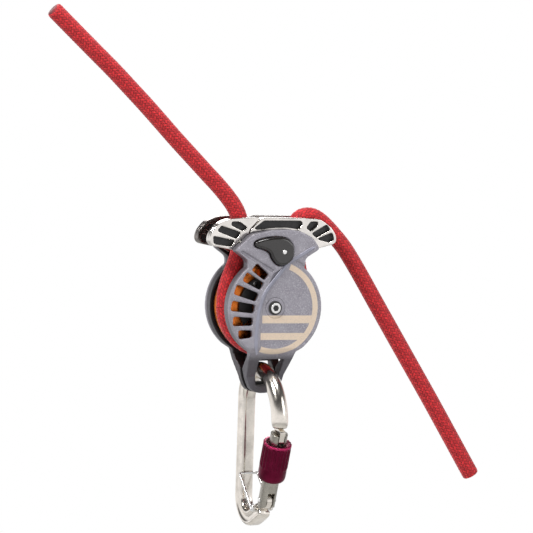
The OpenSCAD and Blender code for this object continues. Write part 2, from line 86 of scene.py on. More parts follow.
# How bright the room is that the metal reflects: share of the way up, and brightness.
ROOM_BANDS = [(0.0, 0.3), (0.2, 0.08), (0.34, 0.5), (0.43, 0.95), (0.57, 0.9), (0.67, 0.14),
              (0.86, 0.05), (1.0, 0.3)]


def banded_room(name):
    """A world that metal reflects as light and dark bands and that the camera sees as white paper."""
    world = bpy.data.worlds.new(name)
    world.use_nodes = True
    tree = world.node_tree
    tree.nodes.clear()
    place = tree.nodes.new("ShaderNodeTexCoord")
    apart = tree.nodes.new("ShaderNodeSeparateXYZ")
    tree.links.new(place.outputs["Generated"], apart.inputs[0])
    height = tree.nodes.new("ShaderNodeMapRange")
    height.inputs["From Min"].default_value = -1
    tree.links.new(apart.outputs["Z"], height.inputs["Value"])
    ramp = tree.nodes.new("ShaderNodeValToRGB")
    tree.links.new(height.outputs[0], ramp.inputs["Fac"])
    elements = ramp.color_ramp.elements
    elements[0].position, elements[1].position = ROOM_BANDS[0][0], ROOM_BANDS[-1][0]
    for at, _ in ROOM_BANDS[1:-1]:
        elements.new(at)
    for element, (_, value) in zip(elements, ROOM_BANDS):
        element.color = (value, value, value * 1.02, 1)
    room = tree.nodes.new("ShaderNodeBackground")
    room.inputs["Strength"].default_value = 1.1
    tree.links.new(ramp.outputs[0], room.inputs["Color"])
    paper = tree.nodes.new("ShaderNodeBackground")
    paper.inputs["Color"].default_value = (1, 1, 1, 1)
    ray = tree.nodes.new("ShaderNodeLightPath")
    shown = tree.nodes.new("ShaderNodeMixShader")
    tree.links.new(ray.outputs["Is Camera Ray"], shown.inputs[0])
    tree.links.new(room.outputs[0], shown.inputs[1])
    tree.links.new(paper.outputs[0], shown.inputs[2])
    end = tree.nodes.new("ShaderNodeOutputWorld")
    tree.links.new(shown.outputs[0], end.inputs[0])
    return world


scene.world = banded_room("studio")


# ---------- materials ----------

class Shader:
    """A node material with short calls for its maths."""

    def __init__(self, name, **sockets):
        self.material = bpy.data.materials.new(name)
        self.material.use_nodes = True
        self.tree = self.material.node_tree
        self.surface = self.tree.nodes["Principled BSDF"]
        for key, value in sockets.items():
            self.surface.inputs[key.replace("_", " ")].default_value = value
        self.place = self.tree.nodes.new("ShaderNodeTexCoord").outputs["Object"]

    def link(self, a, b):
        self.tree.links.new(a, b)

    def axes(self):
        """The x, y and z of the point being painted, in metres."""
        n = self.tree.nodes.new("ShaderNodeSeparateXYZ")
        self.link(self.place, n.inputs[0])
        return n.outputs

    def attribute(self, name):
        n = self.tree.nodes.new("ShaderNodeAttribute")
        n.attribute_name = name
        return n.outputs["Fac"]

    def noise(self, scale, detail=3):
        n = self.tree.nodes.new("ShaderNodeTexNoise")
        n.inputs["Scale"].default_value = scale
        n.inputs["Detail"].default_value = detail
        n.inputs["Roughness"].default_value = 0.55
        self.link(self.place, n.inputs["Vector"])
        return n.outputs["Fac"]

    def maths(self, kind, a, b=0.0):
        n = self.tree.nodes.new("ShaderNodeMath")
        n.operation = kind
        for socket, value in zip(n.inputs, (a, b)):
            if isinstance(value, (int, float)):
                socket.default_value = value
            else:
                self.link(value, socket)
        return n.outputs[0]

    def above(self, a, b):
        return self.maths("GREATER_THAN", a, b)

    def below(self, a, b):
        return self.maths("LESS_THAN", a, b)

    def times(self, a, b):
        return self.maths("MULTIPLY", a, b)

    def plus(self, a, b):
        return self.maths("ADD", a, b)

    def larger(self, a, b):
        return self.maths("MAXIMUM", a, b)

    def spread(self, value, low, high, from_low=0.3, from_high=0.7):
        """Low to high as the value goes from from_low to from_high, and no further."""
        n = self.tree.nodes.new("ShaderNodeMapRange")
        for key, number in (("From Min", from_low), ("From Max", from_high), ("To Min", low),
                            ("To Max", high)):
            n.inputs[key].default_value = number
        self.link(value, n.inputs["Value"])
        return n.outputs[0]

    def mix(self, share, a, b):
        """Colour a where the share is 0 and colour b where it is 1."""
        n = self.tree.nodes.new("ShaderNodeMix")
        n.data_type = "RGBA"
        self.link(share, n.inputs[0])
        for socket, value in ((n.inputs[6], a), (n.inputs[7], b)):
            if isinstance(value, tuple):
                socket.default_value = (*value, 1)
            else:
                self.link(value, socket)
        return n.outputs[2]

    def colour(self, value):
        self.link(value, self.surface.inputs["Base Color"])

    def rough(self, value):
        self.link(value, self.surface.inputs["Roughness"])

    def bump(self, value, distance):
        """A bump on top of any that the material has already."""
        n = self.tree.nodes.new("ShaderNodeBump")
        n.inputs["Distance"].default_value = distance
        self.link(value, n.inputs["Height"])
        old = self.surface.inputs["Normal"]
        if old.links:
            self.link(old.links[0].from_socket, n.inputs["Normal"])
        self.link(n.outputs[0], old)


def mottled(name, light, dark, low_rough, high_rough, grain, depth, soft=150, **sockets):
    """A material whose colour drifts between two tones, with a fine surface grain."""
    s = Shader(name, **sockets)
    s.colour(s.mix(s.spread(s.noise(soft, 4), 0, 1), dark, light))
    s.rough(s.spread(s.noise(soft * 3, 4), low_rough, high_rough))
    s.bump(s.noise(grain, 3), depth)
    return s


def metal(name, light, dark, low_rough, high_rough, wave=0.0):
    """Metal with a very fine grain and, if wave is given, a broad unevenness that bends reflections."""
    s = mottled(name, light, dark, low_rough, high_rough, 3000, 0.00001, Metallic=1.0)
    if wave:
        s.bump(s.noise(55, 1), wave)
    return s


PLATE_LIGHT, PLATE_DARK = (0.36, 0.345, 0.385), (0.28, 0.265, 0.3)
PLATE_METALLIC, PLATE_GRAIN, PLATE_GRAIN_DEPTH = 0.45, 2600, 0.00009
# Painted shade: near black for the plates' inner faces, deep between the two plates.
INSIDE_SHADE = (0.012, 0.011, 0.012)


def inner_face(s, z):
    """How far a plate's inner face is from the mid-plane at a height: it comes in towards the lug."""
    upper, lower = 10.6 * MM, 1.9 * MM
    slope = s.plus(s.times(z, 1.1), 41.4 * MM)
    return s.larger(s.maths("MINIMUM", slope, upper), lower)


def ring_and_bars(s, x, y, z):
    """1 on the print, a ring open to the left with two bars across it, and 0 elsewhere."""
    ring_inner, ring_outer, open_side = 24 * MM, 27.4 * MM, math.radians(-22)
    bar_end, bar_tilt, face = 25 * MM, 0.036, -14.6 * MM
    bars = ((-9, -4.4, -8.3), (-18.8, -14.7, -9.4))
    radius = s.maths("SQRT", s.plus(s.times(x, x), s.times(z, z)))
    side = s.plus(s.times(x, math.cos(open_side)), s.times(z, math.sin(open_side)))
    printed = s.times(s.above(radius, ring_inner), s.below(radius, ring_outer))
    printed = s.times(printed, s.above(side, 0))
    level = s.plus(z, s.times(x, bar_tilt))
    for low, high, left in bars:
        bar = s.times(s.above(level, low * MM), s.below(level, high * MM))
        bar = s.times(bar, s.times(s.above(x, left * MM), s.below(radius, bar_end)))
        printed = s.larger(printed, bar)
    return s.times(printed, s.below(y, face))


def striped_plate():
    """Satin lavender grey with a beige print, with painted shade on its edge and lug and near-black
    painted shade on its inner face.
    """
    s = Shader("plate_front", Metallic=PLATE_METALLIC)
    x, y, z = s.axes()
    base = s.mix(s.spread(s.noise(130, 4), 0, 1), PLATE_DARK, PLATE_LIGHT)
    fleck = s.mix(s.spread(s.noise(2300, 2), 0, 1, 0.56, 0.68), base, (0.58, 0.56, 0.61))
    fleck = s.mix(s.spread(s.noise(2100, 2), 0, 0.7, 0.58, 0.72), fleck, (0.14, 0.13, 0.15))
    cover = s.times(ring_and_bars(s, x, y, z), s.spread(s.noise(PLATE_GRAIN, 3), 0.55, 1.0, 0.3, 0.5))
    face = s.mix(cover, fleck, (0.8, 0.65, 0.5))
    rim_shade = s.times(s.spread(y, 0, 0.55, -16.4 * MM, -15.2 * MM), s.above(z, -24 * MM))
    lug_shade = s.spread(z, 0.78, 0, -31 * MM, -25.5 * MM)
    face = s.mix(s.larger(rim_shade, lug_shade), face, (0.05, 0.047, 0.055))
    # Painted shade: the inner face, between the plates, is coloured near black.
    s.colour(s.mix(s.above(y, s.times(inner_face(s, z), -1)), face, INSIDE_SHADE))
    s.rough(s.spread(s.noise(900, 4), 0.34, 0.5))
    s.bump(s.noise(PLATE_GRAIN, 3), PLATE_GRAIN_DEPTH)
    return s


def rope_shader():
    """Red strands in slightly different tones, with painted shade darkening the gaps between them."""
    s = Shader("rope_sheath", Roughness=0.72, Sheen_Weight=0.35, Sheen_Roughness=0.4)
    bright = s.mix(s.spread(s.noise(700, 3), 0, 1), (0.74, 0.014, 0.022), (0.85, 0.028, 0.034))
    strand = s.mix(s.attribute("fleck"), bright, (0.52, 0.01, 0.016))
    # Painted shade: the low places between strands are darkened towards near black.
    gap = s.spread(s.attribute("weave"), 1, 0, 0.15, 0.8)
    s.colour(s.mix(gap, strand, (0.12, 0.003, 0.006)))
    s.bump(s.noise(5200, 2), 0.00006)
    return s


def rear_look():
    """The rear plate, with painted shade darkening its edge and near-black painted shade on the side
    towards the wheel.
    """
    s = mottled("plate_rear", PLATE_LIGHT, PLATE_DARK, 0.34, 0.5, PLATE_GRAIN, PLATE_GRAIN_DEPTH,
                Metallic=PLATE_METALLIC)
    _, y, z = s.axes()
    face = s.surface.inputs["Base Color"].links[0].from_socket
    # Painted shade: the side wall is darkened away from the outer face, and the inner face is near
    # black.
    edge = s.mix(s.spread(y, 0, 1, 14.6 * MM, 16.4 * MM), (0.085, 0.078, 0.085), face)
    s.colour(s.mix(s.below(y, inner_face(s, z)), edge, INSIDE_SHADE))
    return s


LOOKS = {
    "plate": rear_look(),
    "plate_front": striped_plate(),
    # Painted shadow: the rear guides take the front guides' chrome in a darker copy.
    "guide_rear_shadow": metal("guide_shadow", (0.3, 0.27, 0.25), (0.17, 0.155, 0.145), 0.2, 0.34, wave=0.0006),
    "ridge": mottled("ridge_cast", (0.36, 0.36, 0.43), (0.29, 0.29, 0.35), 0.3, 0.42, PLATE_GRAIN,
                     0.00005, Metallic=PLATE_METALLIC),
    "guide": metal("guide_chrome", (0.86, 0.82, 0.77), (0.66, 0.63, 0.59), 0.09, 0.2, wave=0.0006),
    # Painted shade: near black for sheets put where pockets and recesses lie in shade.
    "painted_shade": mottled("guide_pocket_shade", (0.012, 0.012, 0.013), (0.022, 0.02, 0.02), 0.3, 0.5, 2500,
                           0.00003),
    "button": mottled("button_gloss", (0.009, 0.0075, 0.0065), (0.016, 0.013, 0.011), 0.1, 0.17, 900,
                      0.000008, Coat_Weight=0.6, Coat_Roughness=0.05),
    "bright": metal("bright_steel", (0.84, 0.83, 0.81), (0.7, 0.69, 0.67), 0.14, 0.26),
    "dark_steel": metal("dark_steel", (0.2, 0.19, 0.18), (0.12, 0.115, 0.11), 0.3, 0.5),
    "black_matt": mottled("black_plastic", (0.02, 0.019, 0.018), (0.035, 0.032, 0.03), 0.4, 0.6, 2500,
                          0.00003),
    "orange": metal("wheel_anodised", (0.72, 0.2, 0.035), (0.5, 0.115, 0.018), 0.2, 0.36, wave=0.0003),
    "shoe": metal("shoe_bronze", (0.42, 0.33, 0.22), (0.28, 0.22, 0.15), 0.3, 0.5),
    "alloy": metal("carabiner_polish", (0.88, 0.82, 0.74), (0.68, 0.635, 0.57), 0.12, 0.24, wave=0.0005),
    "gate": metal("gate_satin", (0.46, 0.44, 0.39), (0.34, 0.32, 0.28), 0.2, 0.34, wave=0.0003),
    "sleeve": metal("sleeve_anodised", (0.15, 0.009, 0.035), (0.09, 0.005, 0.02), 0.28, 0.42),
    # Painted highlight: a brighter copy of the sleeve's anodised colour.
    "sleeve_highlight": metal("sleeve_rim_highlight", (0.5, 0.035, 0.13), (0.32, 0.02, 0.08), 0.24, 0.4),
    "rope": rope_shader(),
}


def paint(obj, key):
    """One look for the whole of a piece."""
    obj.data.materials.clear()
    obj.data.materials.append(LOOKS[key].material)


def add_mesh(name, points, faces, key, body, replaces=()):
    """A new smooth piece from points in millimetres."""
    mesh = bpy.data.meshes.new(name)
    mesh.from_pydata([tuple(p) for p in np.asarray(points, float) * MM], [], faces)
    mesh.update()
    obj = bpy.data.objects.new(name, mesh)
    scene.collection.objects.link(obj)
    mesh.shade_smooth()
    paint(obj, key)
    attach(obj, body)
    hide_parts(*replaces)
    return obj


def tube_faces(rings, sides, capped=True):
    """Faces of a tube whose points come ring by ring, with or without flat ends."""
    faces = [(i * sides + k, i * sides + (k + 1) % sides, (i + 1) * sides + (k + 1) % sides,
              (i + 1) * sides + k) for i in range(rings - 1) for k in range(sides)]
    if capped:
        faces.append(tuple(range(sides - 1, -1, -1)))
        faces.append(tuple((rings - 1) * sides + k for k in range(sides)))
    return faces


# ---------- lines ----------

def lengths(line):
    """How far along the line each of its points is."""
    return np.concatenate([[0], np.cumsum(np.linalg.norm(np.diff(line, axis=0), axis=1))])


def headings(line):
    """The unit direction of the line at each of its points."""
    way = np.gradient(line, axis=0)
    return way / np.linalg.norm(way, axis=1)[:, None]


def even(fine, step):
    """The same line with its points evenly spaced, about step apart."""
    run = lengths(fine)
    n = max(2, int(round(run[-1] / step)) + 1)
    at = np.linspace(0, run[-1], n)
    return np.stack([np.interp(at, run, fine[:, k]) for k in range(fine.shape[1])], axis=1)


def smooth_line(points, step):
    """Points every step along a smooth curve through the points given."""
    p = np.array(points, float)
    p = np.vstack([2 * p[0] - p[1], p, 2 * p[-1] - p[-2]])
    fine = []
    for i in range(1, len(p) - 2):
        a, b, c, d = p[i - 1:i + 3]
        ta = (c - a) / (1 + np.linalg.norm(b - a) / np.linalg.norm(c - b))
        tb = (d - b) / (1 + np.linalg.norm(d - c) / np.linalg.norm(c - b))
        for t in np.linspace(0, 1, 24, endpoint=False):
            fine.append((2 * t**3 - 3 * t**2 + 1) * b + (t**3 - 2 * t**2 + t) * ta
                        + (3 * t**2 - 2 * t**3) * c + (t**3 - t**2) * tb)
    fine.append(p[-2])
    return even(np.array(fine), step)


# ---------- rope ----------

# Centreline points (x, z) of the two runs, from the wheel to where the photo cuts the rope off.
LEFT_ROUTE = [
    (-25, 0), (-24.4, 8), (-22.5, 15), (-19.8, 21.5), (-17.3, 27.5), (-15.6, 33.5), (-14.9, 40),
    (-14.8, 46), (-15.7, 52.6), (-18.2, 58.3), (-22.9, 64.9), (-29.2, 72.1), (-35.9, 79),
    (-45.8, 89.3), (-55.8, 99.7), (-65.4, 110.1), (-75.1, 120.5), (-85.2, 130.9), (-95.4, 141.3),
    (-106.2, 151.7), (-117, 162.1), (-133, 177.6)]
RIGHT_ROUTE = [
    (25, 0), (24.6, 8), (23.5, 16), (22, 24), (20.7, 32), (19.8, 39), (19.9, 44.5), (21.6, 49),
    (24.7, 51.5), (28.6, 52.2), (32.6, 51.3), (36.6, 48.9), (41, 44.9), (45.3, 40.4), (49, 36.2),
    (52.2, 32.2), (55.6, 27.2), (62, 17), (72, 0.2), (84, -19.8), (96, -39.7), (108, -59.6),
    (120, -80), (130.3, -97.6), (135.4, -106.3)]
WRAP_R, ROPE_R = 25, 5


def weave(turn, along):
    """Height from 0 to 1 and the fleck tone of a 2-over-2 braid, at a share of a turn and a length."""
    strands, pitch = 16, 2.1
    u, v = turn * strands + along / pitch, turn * strands - along / pitch
    i, j = np.floor(u), np.floor(v)
    phase = np.mod(i + j, 4)
    a_on_top = phase < 2
    across = np.where(a_on_top, u - i, v - j) - 0.5
    along_two = np.where(a_on_top, (np.mod(v - j, 1) + phase) / 2, (np.mod(u - i, 1) + phase - 2) / 2)
    high = np.sqrt(np.clip(1 - (1.9 * across) ** 2, 0, 1))
    high = high * np.sin(np.pi * np.clip(along_two, 0, 1)) ** 0.45
    strand = np.where(a_on_top, np.mod(i * 7, 5), np.mod(j * 3, 5)) / 4
    return high, strand


def rope_piece(name, line, start, node, open_ends=(False, False)):
    """A braided tube on an x-z line, slightly rounded at the ends where the rope is cut. start is the
    length of rope before its first ring."""
    sides = 84
    valley, relief, end_rounding = 0.42, 0.4, 1.2
    way, run = headings(line), start + lengths(line)
    turn = np.arange(sides) / sides
    high, tone = weave(turn[None, :], run[:, None])
    radius = ROPE_R - valley + relief * high
    for end, cut in zip((0, -1), open_ends):
        if cut:
            gap = np.abs(run - run[end])
            radius *= (0.9 + 0.1 * np.sqrt(np.clip(gap / end_rounding, 0, 1)))[:, None]
    angle = 2 * np.pi * turn[None, :]
    x = line[:, :1] - way[:, 1:] * np.cos(angle) * radius
    z = line[:, 1:] + way[:, :1] * np.cos(angle) * radius
    points = np.stack([x, np.sin(angle) * radius, z], axis=2).reshape(-1, 3)
    faces = tube_faces(len(line), sides)
    obj = add_mesh(name, points, faces, "rope", "frame", [node])
    for label, values in (("weave", high), ("fleck", tone)):
        layer = obj.data.attributes.new(label, "FLOAT", "POINT")
        layer.data.foreach_set("value", values.astype(np.float32).ravel())
    return obj, run


RING_GAP = 0.42
left_line = smooth_line(LEFT_ROUTE, RING_GAP)[::-1]
right_line = smooth_line(RIGHT_ROUTE, RING_GAP)
turned_by = np.linspace(math.pi, 2 * math.pi, 190)
wrap_line = np.stack([WRAP_R * np.cos(turned_by), WRAP_R * np.sin(turned_by)], axis=1)
rope_left, run = rope_piece("rope_left_run", left_line, 0, "rope_left", (True, False))
_, run = rope_piece("rope_round_wheel", wrap_line, run[-1], "rope_wrap")
rope_right, _ = rope_piece("rope_right_run", right_line, run[-1], "rope_right", (False, True))


# ---------- outlines and slabs ----------

def softened(points, cut, steps=5):
    """A closed outline with each corner replaced by a smooth bend."""
    p = [np.array(q, float) for q in points]
    made = []
    for i, b in enumerate(p):
        a, c = p[i - 1] - b, p[(i + 1) % len(p)] - b
        start = b + a * min(cut / np.linalg.norm(a), 0.46)
        end = b + c * min(cut / np.linalg.norm(c), 0.46)
        for t in np.linspace(0, 1, steps + 1):
            made.append((1 - t) ** 2 * start + 2 * t * (1 - t) * b + t * t * end)
    return np.array(made)


def grown(outline, gap):
    """A clockwise outline moved outwards by gap."""
    d = np.roll(outline, -1, axis=0) - np.roll(outline, 1, axis=0)
    return outline + np.stack([-d[:, 1], d[:, 0]], axis=1) / np.linalg.norm(d, axis=1)[:, None] * gap


def dense(outline, step=0.4):
    """The same closed outline with points close together."""
    closed = np.vstack([outline, outline[:1]])
    return even(closed, step)[:-1]


def inside(point, outline):
    """Whether a point is inside a closed outline, by counting the edges to its right."""
    x, z = point
    a, b = outline, np.roll(outline, -1, axis=0)
    hit = (a[:, 1] > z) != (b[:, 1] > z)
    with np.errstate(divide="ignore", invalid="ignore"):
        cross = (b[:, 0] - a[:, 0]) * (z - a[:, 1]) / (b[:, 1] - a[:, 1]) + a[:, 0]
    return bool(np.sum(hit & (x < cross)) % 2)


def longest_run(flags):
    """Indexes of the longest unbroken run of True round a closed list."""
    n = len(flags)
    best, now = [], []
    for i in range(2 * n):
        if flags[i % n]:
            now.append(i % n)
            if len(best) < len(now) <= n:
                best = list(now)
        else:
            now = []
    return best


def cut_away(outline, tool):
    """The part of one closed outline that lies outside another that it crosses twice."""
    a, b = dense(outline), dense(tool)
    kept = a[longest_run([not inside(p, b) for p in a])]
    edge = b[longest_run([inside(p, a) for p in b])]
    if np.linalg.norm(kept[-1] - edge[0]) > np.linalg.norm(kept[-1] - edge[-1]):
        edge = edge[::-1]
    return np.vstack([kept, edge])


def rewrite_points(mesh, change):
    """Moves every point of a mesh at once: change is given all points, one per row."""
    co = np.zeros(len(mesh.vertices) * 3)
    mesh.vertices.foreach_get("co", co)
    mesh.vertices.foreach_set("co", change(co.reshape(-1, 3)).ravel())


def flat_piece(name, outlines, y_from, y_to, round_by, key, body, replaces=(), back=False,
               segments=3):
    """A slab from x-z outlines, the first the outside and the rest holes, with rounded edges. With
    back set it is mirrored to the other side of the mid-plane."""
    curve = bpy.data.curves.new(name, "CURVE")
    curve.dimensions, curve.fill_mode = "2D", "BOTH"
    curve.extrude = (abs(y_to - y_from) / 2 - round_by) * MM
    curve.bevel_depth, curve.bevel_resolution, curve.offset = round_by * MM, segments, -round_by * MM
    for outline in outlines:
        line = curve.splines.new("POLY")
        line.points.add(len(outline) - 1)
        for point, (x, z) in zip(line.points, outline):
            point.co = (x * MM, z * MM, 0, 1)
        line.use_cyclic_u = True
    shape = bpy.data.objects.new(name + "_curve", curve)
    scene.collection.objects.link(shape)
    bpy.context.view_layer.update()
    mesh = bpy.data.meshes.new_from_object(shape.evaluated_get(bpy.context.evaluated_depsgraph_get()))
    bpy.data.objects.remove(shape)
    middle, mirror = (y_from + y_to) / 2 * MM, -1 if back else 1
    rewrite_points(mesh, lambda co: np.stack([co[:, 0], (middle - co[:, 2]) * mirror, co[:, 1]], axis=1))
    work = bmesh.new()
    work.from_mesh(mesh)
    bmesh.ops.remove_doubles(work, verts=work.verts, dist=0.00001)
    bmesh.ops.recalc_face_normals(work, faces=work.faces)
    work.to_mesh(mesh)
    work.free()
    mesh.name = name
    obj = bpy.data.objects.new(name, mesh)
    scene.collection.objects.link(obj)
    paint(obj, key)
    mesh.shade_smooth()
    mesh.set_sharp_from_angle(angle=math.radians(50))
    flat = obj.modifiers.new("flat faces stay flat", "WEIGHTED_NORMAL")
    flat.keep_sharp = True
    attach(obj, body)
    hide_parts(*replaces)
    return obj


# ---------- rope guides ----------

# Outlines as (x, z): the plate's head, then for each guide its outside, its tongue and its windows.
HEAD = [(-25.6, 34.9), (-14.6, 43.7), (-2, 45.8), (9, 45.9), (16.2, 44.8), (24.2, 40.6),
        (28.8, 33.9), (19.2, 28.6), (19, 21.6), (12, 12), (-12, 12), (-17.4, 21.6), (-17.2, 28.6)]
GUIDES = {
    "left": (
        [(-38.2, 37.6), (-39.8, 40.8), (-38.4, 45.4), (-33.8, 50.4), (-27.7, 52.9), (-16.7, 53.4),
         (-6.5, 53.1), (-14.3, 45.7), (-14, 40), (-22.6, 34), (-26.2, 34.9)],
        [(-25, 35.8), (-15.4, 42), (-15.4, 33.8), (-18.4, 31.2)],
        [[(-24.7, 50.9), (-20.3, 50.7), (-15.6, 47.4), (-18.3, 46), (-25.1, 49.3)],
         [(-33.9, 46.2), (-31.7, 48.7), (-19.9, 44.5), (-22.1, 41.4)],
         [(-36.7, 42.8), (-23.7, 39.9), (-25.7, 37.1), (-36.4, 39)]]),
    "right": (
        [(-5.7, 53.1), (21.6, 51.8), (32.1, 50.7), (39, 45.6), (41.9, 40.9), (42, 37.1), (40, 35.6),
         (32, 33.9), (25.6, 32.8), (17, 40), (-13.3, 43), (-13.5, 45.7)],
        [(25, 36.4), (16, 41.6), (16, 34.8), (18.8, 31.6)],
        [[(23.1, 46), (25.8, 49.2), (29.8, 49), (29.8, 47.5), (25.5, 44.1)],
         [(26.7, 42.4), (35.8, 47.1), (37.7, 44.3), (29.1, 40.4)],
         [(30.4, 39.2), (39.1, 42.3), (40.2, 38.5), (36.9, 37.4)],
         [(-10.3, 46.7), (-4.3, 50.7), (18.9, 49.8), (20, 48.7), (17.9, 45.7)]]),
}
# Distances from the mid-plane: a guide's two faces, the step between its base and its open frame,
# and the plate's inner face.
GUIDE_IN, GUIDE_OUT, GUIDE_STEP, PLATE_IN = 6.2, 11.6, 9, 9.9
head_line = dense(grown(softened(HEAD, 2.4), 0.35))

for side, (outline, tongue, windows) in GUIDES.items():
    outer = dense(softened(outline, 2.4))
    horn = cut_away(outer, head_line)
    holes = [dense(grown(softened(w, 0.8), 0.4)) for w in windows]
    # Painted shade: a black sheet behind each window stands in for the shade in the pocket.
    shade_sheet = [dense(grown(softened(w, 0.8), 0.9)) for w in windows]
    for end, back in (("front", False), ("rear", True)):
        body = "front_side" if end == "front" else "frame"
        node = f"{end}_guide_{side}"
        look = "guide_rear_shadow" if back else "guide"
        flat_piece(f"{node}_frame", [horn] + holes, -GUIDE_OUT, -GUIDE_STEP, 0.4, look, body,
                   [node], back)
        inner = [outer] + holes if side == "left" else [outer]
        flat_piece(f"{node}_base", inner, -GUIDE_STEP - 0.02, -GUIDE_IN, 0.45, look, body,
                   [node], back)
        flat_piece(f"{node}_tongue", [dense(softened(tongue, 2))], -PLATE_IN, -GUIDE_IN - 0.04, 0.4,
                   look, body, [node], back)
        for i, w in enumerate(shade_sheet):
            flat_piece(f"{node}_lining_{i}", [w], -GUIDE_STEP - 0.12, -8, 0.05, "painted_shade", body,
                       [node], back)


# ---------- ridge cast along the front panel ----------

def ridge_piece():
    """A low rounded bead from the plate's top corner down past the windows."""
    route = [(26.4, 35.8), (17.6, 31.2), (8.7, 26.3), (2, 19.5), (-6.9, 8.7), (-10.6, -1.5),
             (-12, -11.7), (-12.6, -20), (-12.2, -27)]
    face, rise, half_width, fade_rings, sides = -17.95, 0.6, 1.15, 12, 24
    line = smooth_line(route, 0.5)
    way = headings(line)
    across = np.stack([-way[:, 1], way[:, 0]], axis=1)
    made = []
    for i, (at, side) in enumerate(zip(line, across)):
        fade = math.sin(math.pi / 2 * min(1, min(i, len(line) - 1 - i) / fade_rings))
        for k in range(sides):
            a = 2 * math.pi * k / sides
            p = at + side * half_width * (0.35 + 0.65 * fade) * math.cos(a)
            made.append((p[0], face - rise * fade * math.sin(a), p[1]))
    add_mesh("front_plate_ridge", made, tube_faces(len(line), sides), "ridge", "front_side")


ridge_piece()


# ---------- latch button ----------

BUTTON = [(11.4, 37), (11.4, 29.4), (6.8, 25), (1, 25), (-2.6, 29), (-4, 33.2), (-8.4, 35.3),
          (-13.6, 36.6), (-13.6, 39.8), (-7, 41.4), (0, 42), (6.8, 41.2)]
flat_piece("latch_button_cap", [dense(softened(BUTTON, 20, 8), 0.5)], -20.4, -15.4, 1.5, "button",
           "latch", ["latch_button"], segments=6)


# ---------- carabiner ----------

TOP_R, BACK_R, LOW_R = 28, 20, 12
TOP_AT, BACK_AT = (4, -66.5), (4, -58.5)
SPINE_LENGTH, SPINE_LEAN = 57.4, 4.5
FORK_ANGLE, FORK_LENGTH = -115, 13.5
ROUND_HALF, SPINE_HALF, SPINE_HALF_ACROSS = 5, 4.75, 4.25
END_SHRINK = (0.82, 0.93, 0.985)


def carabiner_line():
    """Centreline points (y, z) and how far the section has changed from round to the spine's."""
    lean, turned = math.radians(SPINE_LEAN), math.radians(FORK_ANGLE)
    made = []

    def arc(cy, cz, r, start, end, blend_from, blend_to):
        n = max(6, int(abs(end - start) / 2.5))
        for t in np.linspace(0, 1, n, endpoint=False):
            a = math.radians(start + (end - start) * t)
            blend = blend_from + (blend_to - blend_from) * t
            made.append((cy + r * math.cos(a), cz + r * math.sin(a), blend))

    arc(*TOP_AT, TOP_R, 187, 90, 0, 0)
    arc(*BACK_AT, BACK_R, 90, SPINE_LEAN, 0, 0.75)
    out, way = (math.cos(lean), math.sin(lean)), (math.sin(lean), -math.cos(lean))
    top = (BACK_AT[0] + BACK_R * out[0], BACK_AT[1] + BACK_R * out[1])
    for t in np.linspace(0, 1, 30, endpoint=False):
        along = SPINE_LENGTH * t
        made.append((top[0] + along * way[0], top[1] + along * way[1], min(1, 0.75 + 2.5 * t)))
    centre = [top[i] + SPINE_LENGTH * way[i] - LOW_R * out[i] for i in range(2)]
    arc(*centre, LOW_R, SPINE_LEAN, FORK_ANGLE, 1, 1)
    low = (centre[0] + LOW_R * math.cos(turned), centre[1] + LOW_R * math.sin(turned))
    for t in np.linspace(0, FORK_LENGTH, 10):
        made.append((low[0] + t * math.sin(turned), low[1] - t * math.cos(turned), 1))
    return np.array(made)


def carabiner_section(blend, sides):
    """Section points: in the carabiner's plane, and across it. The spine has a groove on each side."""
    a = 2 * np.pi * np.arange(sides) / sides
    c, s = np.cos(a), np.sin(a)
    squareness = 2 + 2.6 * blend
    r = 1 / (np.abs(c) ** squareness + np.abs(s) ** squareness) ** (1 / squareness)
    u = r * c * (ROUND_HALF * (1 - blend) + SPINE_HALF * blend)
    w = r * s * (ROUND_HALF * (1 - blend) + SPINE_HALF_ACROSS * blend)
    groove = 1.15 * blend * np.clip(1 - (u / 2.5) ** 2, 0, 1) ** 0.8
    return u, w - np.sign(w) * np.where(np.abs(w) > 2, groove, 0)


def carabiner_bow():
    """The section carried along the centreline, a little smaller at its last rings."""
    sides = 72
    line = carabiner_line()
    way = headings(line[:, :2])
    points = []
    for i, (y, z, blend) in enumerate(line):
        u, w = carabiner_section(blend, sides)
        from_end = min(i, len(line) - 1 - i)
        shrink = END_SHRINK[from_end] if from_end < len(END_SHRINK) else 1.0
        out_y, out_z = way[i, 1], -way[i, 0]
        points += [(b * shrink, y - out_y * a * shrink, z - out_z * a * shrink) for a, b in zip(u, w)]
    add_mesh("carabiner_bow", points, tube_faces(len(line), sides), "alloy", "carabiner",
             ["carabiner_body"])


carabiner_bow()


def plane_piece(name, outline, half, round_by, key, body):
    """A slab from a y-z outline, across the carabiner, with rounded edges."""
    obj = flat_piece(name, [outline], -half, half, round_by, key, body)
    rewrite_points(obj.data, lambda co: np.stack([-co[:, 1], co[:, 0], co[:, 2]], axis=1))


HINGE, TIP = np.array([-5.5, -114.2]), np.array([-23.0, -74.2])
gate_way = (TIP - HINGE) / np.linalg.norm(TIP - HINGE)
gate_side = np.array([-gate_way[1], gate_way[0]])


def on_gate(along, across):
    """A (y, z) place: how far from the hinge towards the tip, and how far off that line."""
    return HINGE + gate_way * along + gate_side * across


NOSE = [on_gate(39.6, -4.6), on_gate(39.6, 4.6), on_gate(48, 4.8), on_gate(48, -4.8)]
HINGE_TONGUE = [(-9.8, -116.8), (-9.2, -111.8), (-5.4, -109.6), (-1.6, -111), (4.5, -116.6),
                (3, -123.5), (-5, -120)]
plane_piece("carabiner_nose", dense(softened(NOSE, 1.5)), 1.7, 0.4, "alloy", "carabiner")
plane_piece("carabiner_hinge_tongue", dense(softened(HINGE_TONGUE, 3)), 1.7, 0.35, "alloy",
            "carabiner")


